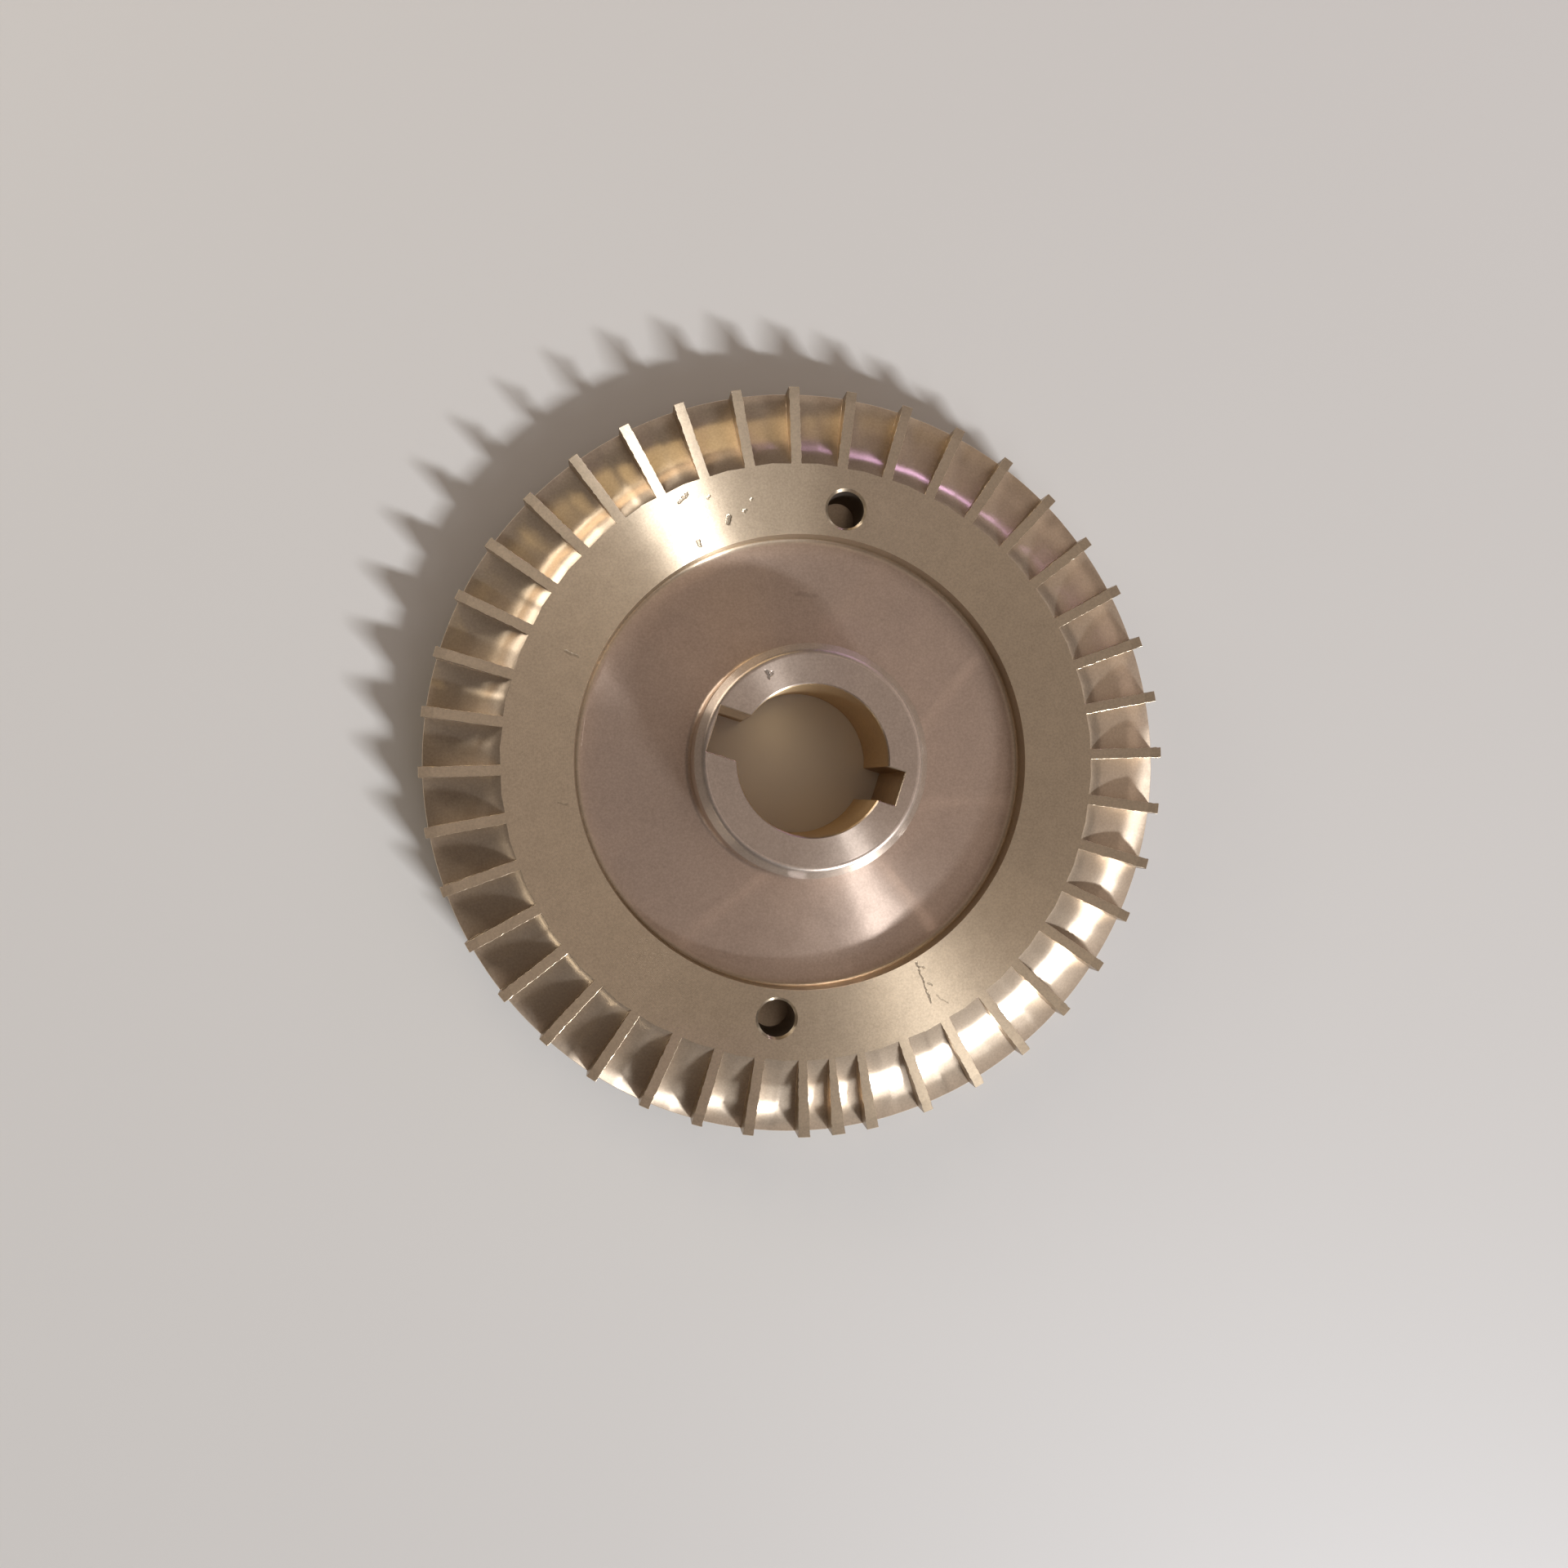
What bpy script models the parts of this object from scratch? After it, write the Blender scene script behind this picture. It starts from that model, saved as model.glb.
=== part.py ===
# Pump impeller, a regenerative wheel with milled vanes on both faces.
# Metres, +Z up along the shaft, origin under the middle of the rear hub face.
# Angles are counted from +X towards +Y, seen from the front.

import math

import bmesh
import bpy
from mathutils import Matrix, Vector

# Driving dimensions of the turned blank

OUTER_RADIUS = 0.06535
RING_THICKNESS = 0.0100
REAR_HUB_STEP = 0.0018
HUB_LENGTH = 0.0209
BORE_RADIUS = 0.0127
BORE_CHAMFER = 0.0003
HUB_RADIUS = 0.0198
HUB_CHAMFER = 0.0015
RECESS_RADIUS = 0.0397
RECESS_DEPTH = 0.0040
HUB_FILLET = 0.0010
RECESS_FILLET = 0.0005

# Driving dimensions of the milled pockets and the vanes between them

POCKET_INNER_RADIUS = 0.0519
WEB_THICKNESS = 0.0015
VANE_THICKNESS = 0.0018
FIRST_VANE_ANGLE = math.radians(-79.3)
REGULAR_POCKETS = 36
REGULAR_PITCH = math.radians(9.0)
LAST_PITCHES = [math.radians(pitch) for pitch in (8.5, 8.0, 8.5, 5.5, 5.5)]
MILL_WIDTH = 0.0039

# Driving dimensions of the two keyways and the two puller holes

KEYWAY_ANGLE = math.radians(-17.7)
KEYWAY_WIDTH = 0.0060
KEYWAY_REACH = 0.0155
WIDE_KEYWAY_WIDTH = 0.0080
WIDE_KEYWAY_REACH = 0.0175
HOLE_RADIUS = 0.00325
HOLE_CHAMFER = 0.00045
HOLE_PITCH_RADIUS = 0.0448
HOLE_ANGLES = (math.radians(80.7), math.radians(263.6))

# How finely round forms are drawn

TURNING_STEPS = 96
FILLET_STEPS = 3
SCOOP_STEPS = 6
HOLE_SIDES = 20
CUT_CLEARANCE = 0.002
MERGE_DISTANCE = 0.00001
SHARP_ANGLE = math.radians(31.0)

# Heights worked out from the dimensions above

RING_BACK = REAR_HUB_STEP
RING_FRONT = RING_BACK + RING_THICKNESS
RING_MIDDLE = (RING_BACK + RING_FRONT) / 2
POCKET_DEPTH = (RING_THICKNESS - WEB_THICKNESS) / 2


def clear_scene():
    for item in list(bpy.data.objects):
        bpy.data.objects.remove(item, do_unlink=True)


def new_collection(name):
    collection = bpy.data.collections.new(name)
    bpy.context.scene.collection.children.link(collection)
    return collection


def add_mesh_object(name, mesh, collection):
    item = bpy.data.objects.new(name, mesh)
    collection.objects.link(item)
    return item


def brass_material():
    material = bpy.data.materials.new("worn_brass")
    material.use_nodes = True
    shader = material.node_tree.nodes["Principled BSDF"]
    shader.inputs["Base Color"].default_value = (0.42, 0.31, 0.19, 1.0)
    shader.inputs["Metallic"].default_value = 1.0
    shader.inputs["Roughness"].default_value = 0.38
    return material


def arc_points(centre, radius, start, end, steps):
    """Points on an arc in the plane of radius and height, both ends included."""
    points = []
    for step in range(steps + 1):
        angle = start + (end - start) * step / steps
        points.append((centre[0] + radius * math.cos(angle), centre[1] + radius * math.sin(angle)))
    return points


def face_profile(ring_face, hub_face):
    """Section of the front face from the bore out to the rim, heights above the mid-plane."""
    floor = ring_face - RECESS_DEPTH
    hub_corner = (HUB_RADIUS + HUB_FILLET, floor + HUB_FILLET)
    recess_corner = (RECESS_RADIUS - RECESS_FILLET, floor + RECESS_FILLET)
    points = [(BORE_RADIUS, hub_face - BORE_CHAMFER)]
    points.append((BORE_RADIUS + BORE_CHAMFER, hub_face))
    points.append((HUB_RADIUS - HUB_CHAMFER, hub_face))
    if hub_face - HUB_CHAMFER > hub_corner[1]:
        points.append((HUB_RADIUS, hub_face - HUB_CHAMFER))
    points += arc_points(hub_corner, HUB_FILLET, math.pi, 1.5 * math.pi, FILLET_STEPS)
    points += arc_points(recess_corner, RECESS_FILLET, 1.5 * math.pi, 2 * math.pi, FILLET_STEPS)
    points.append((RECESS_RADIUS, ring_face))
    points.append((OUTER_RADIUS, ring_face))
    return points


def blank_profile():
    """Closed section of the turned blank, down its outer side and back up the bore."""
    half_ring = RING_THICKNESS / 2
    front = face_profile(half_ring, HUB_LENGTH - RING_MIDDLE)
    back = face_profile(half_ring, RING_MIDDLE)
    upper = [(radius, RING_MIDDLE + height) for radius, height in front]
    lower = [(radius, RING_MIDDLE - height) for radius, height in reversed(back)]
    return upper + lower


def turned_blank(collection):
    """The blank as a section turned about the shaft line."""
    mesh = bpy.data.meshes.new("impeller")
    section = blank_profile()
    corners = [(radius, 0.0, height) for radius, height in section]
    edges = [(index, (index + 1) % len(corners)) for index in range(len(corners))]
    mesh.from_pydata(corners, edges, [])
    blank = add_mesh_object("impeller", mesh, collection)
    turning = blank.modifiers.new("turning", "SCREW")
    turning.axis = "Z"
    turning.angle = 2 * math.pi
    turning.steps = TURNING_STEPS
    turning.render_steps = TURNING_STEPS
    turning.use_merge_vertices = True
    turning.merge_threshold = MERGE_DISTANCE
    return blank


def vane_angles():
    """Angle of each vane: an even pitch, then the last pockets squeezed into what was left."""
    angles = [FIRST_VANE_ANGLE]
    for pitch in [REGULAR_PITCH] * REGULAR_POCKETS + LAST_PITCHES:
        angles.append(angles[-1] + pitch)
    return angles


def scoop_section():
    """Side view of one pocket: a milled arc that runs out level at the rim."""
    run = OUTER_RADIUS - POCKET_INNER_RADIUS
    cutter_radius = (run ** 2 + POCKET_DEPTH ** 2) / (2 * POCKET_DEPTH)
    centre = (OUTER_RADIUS, cutter_radius - POCKET_DEPTH)
    down = 1.5 * math.pi
    edge = math.asin(run / cutter_radius)
    above = math.asin((run + CUT_CLEARANCE) / cutter_radius)
    section = arc_points(centre, cutter_radius, down - above, down - edge, 1)[:1]
    section += arc_points(centre, cutter_radius, down - edge, down, SCOOP_STEPS)
    far = OUTER_RADIUS + CUT_CLEARANCE
    top = section[0][1] + CUT_CLEARANCE
    section += [(far, section[-1][1]), (far, top), (section[0][0], top)]
    return section


def pocket_reach(radius, half_angle):
    """Half the width of a pocket: between parallel vanes, or one pass of the mill if narrow."""
    between_vanes = radius * math.tan(half_angle) - VANE_THICKNESS / 2 / math.cos(half_angle)
    at_the_root = POCKET_INNER_RADIUS * math.tan(half_angle) - VANE_THICKNESS / 2
    one_pass = MILL_WIDTH / 2
    return between_vanes if at_the_root > one_pass else one_pass


def add_pocket_cutter(bm, section, low_angle, high_angle, front):
    """One cutter between two vanes, with a run-out past the rim and above the face."""
    half_angle = (high_angle - low_angle) / 2
    middle = (high_angle + low_angle) / 2
    made = []
    for side in (-1, 1):
        row = []
        for radius, height in section:
            reach = side * pocket_reach(radius, half_angle)
            row.append(bm.verts.new((radius, reach, height + RING_THICKNESS / 2)))
        made.append(row)
    count = len(section)
    bm.faces.new(made[0])
    bm.faces.new(list(reversed(made[1])))
    for index in range(count):
        after = (index + 1) % count
        bm.faces.new((made[0][after], made[0][index], made[1][index], made[1][after]))
    turn = Matrix.Identity(4) if front else Matrix.Rotation(math.pi, 4, "X")
    place = Matrix.Translation((0, 0, RING_MIDDLE)) @ Matrix.Rotation(middle, 4, "Z") @ turn
    bmesh.ops.transform(bm, matrix=place, verts=made[0] + made[1])


def pocket_cutters(collection):
    """All pockets of both faces in one cutter."""
    mesh = bpy.data.meshes.new("pocket_cutters")
    bm = bmesh.new()
    section = scoop_section()
    angles = vane_angles()
    for front in (True, False):
        for low_angle, high_angle in zip(angles, angles[1:]):
            add_pocket_cutter(bm, section, low_angle, high_angle, front)
    bmesh.ops.recalc_face_normals(bm, faces=bm.faces)
    bm.to_mesh(mesh)
    bm.free()
    return add_mesh_object("pocket_cutters", mesh, collection)


def keyway_cutter(name, reach, width, angle, collection):
    """A keyway through the whole hub, cut into the bore wall out to its reach."""
    inner = BORE_RADIUS / 2
    low = -CUT_CLEARANCE
    high = HUB_LENGTH + CUT_CLEARANCE
    mesh = bpy.data.meshes.new(name)
    bm = bmesh.new()
    bmesh.ops.create_cube(bm, size=1.0)
    bmesh.ops.scale(bm, vec=(reach - inner, width, high - low), verts=bm.verts)
    bmesh.ops.translate(bm, vec=((reach + inner) / 2, 0, (low + high) / 2), verts=bm.verts)
    bmesh.ops.rotate(bm, cent=Vector(), matrix=Matrix.Rotation(angle, 3, "Z"), verts=bm.verts)
    bm.to_mesh(mesh)
    bm.free()
    return add_mesh_object(name, mesh, collection)


def hole_cutter(name, angle, collection):
    """A through hole with a chamfer at both ring faces."""
    wide = HOLE_RADIUS + HOLE_CHAMFER + CUT_CLEARANCE
    rise = HOLE_CHAMFER + CUT_CLEARANCE
    section = [(0.0, RING_FRONT + CUT_CLEARANCE), (wide, RING_FRONT + CUT_CLEARANCE)]
    section.append((HOLE_RADIUS, RING_FRONT + CUT_CLEARANCE - rise))
    section.append((HOLE_RADIUS, RING_BACK - CUT_CLEARANCE + rise))
    section += [(wide, RING_BACK - CUT_CLEARANCE), (0.0, RING_BACK - CUT_CLEARANCE)]
    corners = [(radius, 0.0, height) for radius, height in section]
    edges = [(index, index + 1) for index in range(len(corners) - 1)]
    mesh = bpy.data.meshes.new(name)
    mesh.from_pydata(corners, edges, [])
    cutter = add_mesh_object(name, mesh, collection)
    turning = cutter.modifiers.new("turning", "SCREW")
    turning.axis = "Z"
    turning.angle = 2 * math.pi
    turning.steps = HOLE_SIDES
    turning.render_steps = HOLE_SIDES
    turning.use_merge_vertices = True
    turning.merge_threshold = MERGE_DISTANCE
    place = (HOLE_PITCH_RADIUS * math.cos(angle), HOLE_PITCH_RADIUS * math.sin(angle), 0.0)
    cutter.location = place
    return cutter


def cut_all(wheel, cutters):
    """Take every cutter out of the wheel in one step."""
    for cutter in cutters.objects:
        cutter.hide_render = True
        cutter.display_type = "WIRE"
    step = wheel.modifiers.new("milling", "BOOLEAN")
    step.operation = "DIFFERENCE"
    step.solver = "EXACT"
    step.operand_type = "COLLECTION"
    step.collection = cutters


def shade_round(wheel):
    """Keep the cut shape as the wheel's own mesh, smooth all over but for its real edges."""
    graph = bpy.context.evaluated_depsgraph_get()
    shape = bpy.data.meshes.new_from_object(wheel.evaluated_get(graph))
    wheel.modifiers.clear()
    wheel.data = shape
    shape.shade_smooth()
    shape.set_sharp_from_angle(angle=SHARP_ANGLE)


def build():
    clear_scene()
    parts = new_collection("pump_impeller")
    cutters = new_collection("cutters")
    wheel = turned_blank(parts)
    wheel.data.materials.append(brass_material())
    pocket_cutters(cutters)
    opposite = KEYWAY_ANGLE + math.pi
    keyway_cutter("keyway", KEYWAY_REACH, KEYWAY_WIDTH, KEYWAY_ANGLE, cutters)
    keyway_cutter("wide_keyway", WIDE_KEYWAY_REACH, WIDE_KEYWAY_WIDTH, opposite, cutters)
    for number, angle in enumerate(HOLE_ANGLES, start=1):
        hole_cutter(f"puller_hole_{number}", angle, cutters)
    cut_all(wheel, cutters)
    shade_round(wheel)


build()
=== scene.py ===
# %% [markdown]
# # A pump impeller in worn brass
#
# A regenerative pump moves liquid with a flat wheel. Short vanes are milled into both faces at its
# rim, and the liquid circles in the pockets between them. This lesson dresses the plain CAD wheel:
# it draws the same wheel with the fine forms that machining leaves, then gives it brass that looks
# turned in one place and milled in another.
#
# Everything is in metres. The shaft line is the Z axis, and angles are counted from +X towards +Y.

# %% Load the frame
import math

import bmesh
import bpy
from mathutils import Matrix, Vector


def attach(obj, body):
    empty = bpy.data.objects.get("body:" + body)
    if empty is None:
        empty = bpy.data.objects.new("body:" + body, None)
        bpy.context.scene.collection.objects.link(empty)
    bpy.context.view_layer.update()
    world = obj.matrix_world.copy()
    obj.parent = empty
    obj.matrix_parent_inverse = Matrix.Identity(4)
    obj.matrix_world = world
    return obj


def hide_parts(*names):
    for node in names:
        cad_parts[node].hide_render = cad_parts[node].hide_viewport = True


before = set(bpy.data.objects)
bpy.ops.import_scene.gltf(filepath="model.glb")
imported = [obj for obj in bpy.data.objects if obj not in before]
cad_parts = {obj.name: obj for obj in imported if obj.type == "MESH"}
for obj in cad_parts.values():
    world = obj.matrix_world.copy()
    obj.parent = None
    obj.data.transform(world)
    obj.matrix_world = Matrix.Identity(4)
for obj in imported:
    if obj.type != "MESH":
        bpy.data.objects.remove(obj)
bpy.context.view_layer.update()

# %% [markdown]
# ## The sizes of the wheel
#
# The dressed wheel has to fill the same space as the CAD solid, so its sizes are repeated here. A
# wheel like this starts as a turned blank. Its heights are easiest to think of as measured from the
# middle of the rim, because the two faces are cut alike.

# %% Sizes of the blank
OUTER_RADIUS = 0.06535
HALF_RING = 0.0050
RING_MIDDLE = 0.0068
FRONT_HUB_RISE = 0.0141
BACK_HUB_RISE = 0.0068
BORE_RADIUS = 0.0127
BORE_CHAMFER = 0.0003
HUB_RADIUS = 0.0198
HUB_CHAMFER = 0.0015
HUB_FILLET = 0.0010
RECESS_RADIUS = 0.0397
RECESS_DEPTH = 0.0040
RECESS_FILLET = 0.0005

# %% Sizes of the milling
POCKET_START = 0.0519
HALF_WEB = 0.00075
VANE_THICKNESS = 0.0018
MILL_WIDTH = 0.0039
FIRST_VANE = math.radians(-79.3)
PITCHES = [math.radians(9.0)] * 36 + [math.radians(p) for p in (8.5, 8.0, 8.5, 5.5, 5.5)]
NARROW_BELOW = math.radians(7.0)
print("pockets on each face:", len(PITCHES), "adding to", math.degrees(sum(PITCHES)), "degrees")

# %% [markdown]
# ## The camera
#
# A hand-held camera looks down on the wheel from a little to its left. Its up direction is the
# wheel's +Y. The three directions are worked out with cross products and put in a matrix, which
# leaves no doubt about how the camera is turned.

# %% Camera
CAMERA_PLACE = Vector((-0.031432, -0.004527, 0.215545))
CAMERA_AIM = Vector((-0.004978, -0.003886, 0.0209))
CAMERA_LENS = 27.19


def add_camera(place, aim, lens):
    camera = bpy.data.objects.new("camera", bpy.data.cameras.new("camera"))
    bpy.context.scene.collection.objects.link(camera)
    forward = (aim - place).normalized()
    right = forward.cross(Vector((0, 1, 0))).normalized()
    up = right.cross(forward)
    turn = Matrix((right, up, -forward)).transposed()
    camera.matrix_world = Matrix.Translation(place) @ turn.to_4x4()
    camera.data.lens = lens
    camera.data.sensor_width = 36.0
    camera.data.clip_start = 0.01
    return camera


bpy.context.scene.camera = add_camera(CAMERA_PLACE, CAMERA_AIM, CAMERA_LENS)
print("camera is", round((CAMERA_AIM - CAMERA_PLACE).length, 3), "m from the hub's face")

# %% [markdown]
# ## Writing node trees as arithmetic
#
# Both the shape and the finish below come from node trees. A small class stands for one socket, so
# that an expression such as `1 - mask` adds its Math node by itself. Any other node comes from one
# method, which takes the node's type, its settings and what goes into its sockets.

# %% Node helpers


class Field:
    """The output of a node, which can be used in arithmetic."""

    def __init__(self, graph, socket):
        self.graph = graph
        self.socket = socket

    def __add__(self, other):
        return self.graph.math("ADD", self, other)

    def __sub__(self, other):
        return self.graph.math("SUBTRACT", self, other)

    def __rsub__(self, other):
        return self.graph.math("SUBTRACT", other, self)

    def __mul__(self, other):
        return self.graph.math("MULTIPLY", self, other)

    def __truediv__(self, other):
        return self.graph.math("DIVIDE", self, other)

    def __rtruediv__(self, other):
        return self.graph.math("DIVIDE", other, self)

    def __pow__(self, other):
        return self.graph.math("POWER", self, other)

    def __lt__(self, other):
        return self.graph.math("LESS_THAN", self, other)

    def __gt__(self, other):
        return self.graph.math("GREATER_THAN", self, other)

    __radd__ = __add__
    __rmul__ = __mul__


class Graph:
    """A node tree that adds nodes and links their sockets."""

    def __init__(self, tree):
        self.tree = tree
        self.tree.nodes.clear()

    def add(self, kind, settings=None, sockets=None):
        node = self.tree.nodes.new(kind)
        for name, setting in (settings or {}).items():
            if name == "stops":
                self.fill_ramp(node.color_ramp, setting)
            else:
                setattr(node, name, setting)
        for name, given in (sockets or {}).items():
            self.feed(node.inputs[name], given)
        return node

    def feed(self, socket, given):
        if isinstance(given, Field):
            self.tree.links.new(given.socket, socket)
        else:
            socket.default_value = given

    def fill_ramp(self, ramp, stops):
        while len(ramp.elements) < len(stops):
            ramp.elements.new(0.5)
        for element, (position, colour) in zip(ramp.elements, stops):
            element.position = position
            element.color = colour

    def out(self, node, name=0):
        return Field(self, node.outputs[name])

    def math(self, operation, *values):
        sockets = dict(enumerate(values))
        return self.out(self.add("ShaderNodeMath", {"operation": operation}, sockets))

    def smooth(self, value, low, high):
        """0 below low, 1 above high, and a soft step between them."""
        settings = {"interpolation_type": "SMOOTHSTEP"}
        sockets = {"Value": value, "From Min": low, "From Max": high}
        return self.out(self.add("ShaderNodeMapRange", settings, sockets))

    def between(self, low, high, share):
        return low + (high - low) * share


print("node helpers ready")

# %% [markdown]
# ## Brass
#
# All surfaces are the same brass, so one function makes it. What differs is how light spreads on
# it. A turned face has fine rings, and light spreads across rings far more than along them. Blender
# calls this anisotropy: with no tangent linked it runs round the object's Z axis, which here is the
# shaft. That gives the bright wedges that turned metal shows. The rings themselves are a bump whose
# height depends on the radius.
#
# The lathe tool leans its ridges one way, outward on one face and inward on another, so one wedge
# is brighter than the one opposite. A ramp with a short steep side, repeated along the radius, says
# just that.

# %% Brass with turned rings
RING_COLOUR = (0.74, 0.59, 0.41, 1.0)
FLOOR_COLOUR = (0.70, 0.54, 0.425, 1.0)
HUB_COLOUR = (0.70, 0.565, 0.455, 1.0)
MILLED_COLOUR = (0.74, 0.59, 0.43)
RING_TURN = 0.25
MILLIMETRE = 0.001
METAL_SHARE = 0.9
STEP_LEAN = 0.055
PASS_LEAN = 0.5
TORN_SHARE = 0.20
WALL_PAINTED_SHADE = 0.35
BROAD_SHARE = 0.33
TIP_PAINTED_SHADE = 0.10
RING_PITCH = 0.22
RIDGE_HEIGHT = 0.030
BORE_COLOUR = (0.72, 0.52, 0.29, 1.0)


def mix_colour(graph, low, high, share):
    settings = {"data_type": "RGBA"}
    node = graph.add("ShaderNodeMix", settings, {0: share, 6: low, 7: high})
    return graph.out(node, 2)


def surface_place(graph):
    """Object coordinates in millimetres, as x, y, height and radius."""
    where = graph.out(graph.add("ShaderNodeTexCoord"), "Object")
    split = graph.add("ShaderNodeSeparateXYZ", None, {"Vector": where})
    x, y, z = (graph.out(split, axis) * 1000.0 for axis in "XYZ")
    radius = graph.math("SQRT", x * x + y * y)
    return where, x, y, z, radius


def noise(graph, where, scale, detail=3.0, roughness=0.6):
    sockets = {"Vector": where, "Scale": scale, "Detail": detail, "Roughness": roughness}
    return graph.out(graph.add("ShaderNodeTexNoise", None, sockets), "Fac")


def new_material(name):
    material = bpy.data.materials.new(name)
    material.use_nodes = True
    return material, Graph(material.node_tree)


def scaled_colour(graph, colour, shade):
    node = graph.add("ShaderNodeVectorMath", {"operation": "SCALE"}, {0: colour, "Scale": shade})
    return graph.out(node, "Vector")


def bumped(graph, height, normal):
    """A normal from heights in millimetres, on top of another normal if one is given."""
    sockets = {"Strength": 1.0, "Distance": 1.0 * MILLIMETRE, "Height": height}
    if normal is not None:
        sockets["Normal"] = normal
    return graph.out(graph.add("ShaderNodeBump", None, sockets), "Normal")


def brushed(graph, colour, roughness, normal, anisotropy, turn, metallic=METAL_SHARE):
    sockets = {"Base Color": colour, "Metallic": metallic, "Roughness": roughness,
               "Normal": normal, "Anisotropic": anisotropy, "Anisotropic Rotation": turn}
    return graph.out(graph.add("ShaderNodeBsdfPrincipled", None, sockets), "BSDF")


def mix_shader(graph, share, first, second):
    return graph.out(graph.add("ShaderNodeMixShader", None, {0: share, 1: first, 2: second}))


def show(graph, shader):
    graph.add("ShaderNodeOutputMaterial", None, {"Surface": shader})


MARKS = [
    (-21.9, 44.5, -20.6, 46.1, 0.42, 1.0),
    (-13.5, 41.2, -13.3, 42.3, 0.50, 1.0),
    (-18.6, 38.0, -18.3, 37.1, 0.40, 0.9),
    (-10.6, 43.2, -10.5, 43.4, 0.45, 0.6),
    (-16.9, 45.4, -16.8, 45.6, 0.35, 0.5),
    (-9.4, 45.4, -9.3, 45.6, 0.35, 0.5),
    (-41.2, 18.6, -39.0, 17.8, 0.30, 0.5),
    (-42.4, -7.1, -40.9, -7.3, 0.22, 0.4),
    (19.8, -35.3, 22.4, -42.3, 0.17, 0.8),
    (20.2, -36.0, 21.5, -36.3, 0.13, 0.5),
    (21.7, -38.9, 22.6, -39.3, 0.15, 0.5),
    (23.4, -41.2, 25.6, -42.6, 0.12, 0.3),
    (-1.0, 29.9, 2.7, 29.6, 0.55, 0.25),
    (-7.9, 14.9, -7.4, 13.7, 0.30, 1.0),
    (-6.9, 14.6, -7.4, 13.7, 0.25, 0.8),
]


def near_line(graph, x, y, mark):
    """1 on a short line across the face and 0 away from it, by the line's own width."""
    left, low, right, high, width, depth = mark
    run, climb = right - left, high - low
    along = ((x - left) * run + (y - low) * climb) / (run * run + climb * climb)
    along = graph.math("MINIMUM", graph.math("MAXIMUM", along, 0.0), 1.0)
    gap_x = x - left - along * run
    gap_y = y - low - along * climb
    gap = graph.math("SQRT", gap_x * gap_x + gap_y * gap_y)
    return (1 - graph.smooth(gap, width * 0.35, width)) * depth


def worn_marks(graph, where, x, y, z):
    """Nicks and scratches on the front faces, where the wheel has been knocked and pried."""
    ragged_x = x + (noise(graph, where, 1300.0, 2.0, 0.6) - 0.5) * 0.9
    ragged_y = y + (noise(graph, where, 1100.0, 2.0, 0.6) - 0.5) * 0.9
    deepest = near_line(graph, ragged_x, ragged_y, MARKS[0])
    for mark in MARKS[1:]:
        deepest = graph.math("MAXIMUM", deepest, near_line(graph, ragged_x, ragged_y, mark))
    return deepest * (z > RING_MIDDLE * 1000)


def turned_brass():
    material, graph = new_material("turned_brass")
    where, x, y, z, radius = surface_place(graph)
    on_hub = 1 - graph.smooth(radius, 19.9, 20.3)
    on_ring = graph.smooth(radius, 38.5, 39.6)
    in_recess = (1 - on_hub) * (1 - on_ring)
    on_corner = graph.smooth(radius, 17.7, 17.8) * (1 - graph.smooth(radius, 18.55, 18.7))
    facing = graph.out(graph.add("ShaderNodeNewGeometry"), "Normal")
    upward = graph.out(graph.add("ShaderNodeSeparateXYZ", None, {"Vector": facing}), "Z")
    on_edge = (1 - graph.smooth(graph.math("ABSOLUTE", upward), 0.90, 0.97)) * (radius > 51.0)
    on_side = (1 - graph.smooth(graph.math("ABSOLUTE", upward), 0.3, 0.6)) * (radius > 30.0)
    # Painted reflection: the outer ends of the vane tops are darkened in colour, as if they mirrored a darker
    # part of the room.
    tip_painted_shade = graph.smooth(radius, 63.2, 63.5) * TIP_PAINTED_SHADE
    base = mix_colour(graph, FLOOR_COLOUR, RING_COLOUR, on_ring)
    base = mix_colour(graph, base, HUB_COLOUR, on_hub)
    base = mix_colour(graph, BORE_COLOUR, base, graph.smooth(radius, 12.75, 12.9))
    mottle = noise(graph, where, 320.0, 4.0, 0.65) - 0.5
    patches = noise(graph, where, 45.0, 2.0, 0.5) - 0.5
    grain = noise(graph, where, 2600.0, 2.0, 0.6) - 0.5
    wobble = noise(graph, where, 60.0, 2.0, 0.5) * 0.10
    ramp = graph.math("FRACT", (radius + wobble) / RING_PITCH)
    lean = on_ring * 2.4 - in_recess * 0.5 - on_hub * 0.3
    fine = noise(graph, where, 900.0, 3.0, 0.7)
    dents = worn_marks(graph, where, x, y, z)
    # Painted shade: the recess floor is darkened in colour near its outer corner, where the wall shades it.
    recess_corner_painted_shade = graph.smooth(radius, 38.9, 39.4) * (1 - graph.smooth(radius, 39.6, 39.75)) * 0.3
    shade = (1 + mottle * 0.22 + patches * 0.12 + grain * 0.5) * (1 - dents * 0.55) * (1 - recess_corner_painted_shade) * (1 - tip_painted_shade)
    # Painted shade: the steep side walls of the turned parts are darkened in colour.
    shade = shade * (1 - on_side * WALL_PAINTED_SHADE)
    relief = fine * 0.003 - dents * 0.05
    normal = bumped(graph, relief + ramp * lean * RIDGE_HEIGHT, None)
    level = bumped(graph, relief, None)
    colour = scaled_colour(graph, base, shade)
    crisp = 0.22 + on_ring * 0.04 + mottle * 0.03
    sharp = brushed(graph, colour, crisp, normal, 1.0, RING_TURN)
    blurred = 0.33 + on_ring * 0.12 + mottle * 0.08
    broad = brushed(graph, colour, blurred, level, 0.8, RING_TURN)
    plain = brushed(graph, colour, 0.30 + mottle * 0.05, level, 0.0, 0.0)
    both = mix_shader(graph, BROAD_SHARE + (in_recess + on_hub) * 0.20, sharp, broad)
    show(graph, mix_shader(graph, on_corner + on_edge + on_side, both, plain))
    return material


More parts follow.
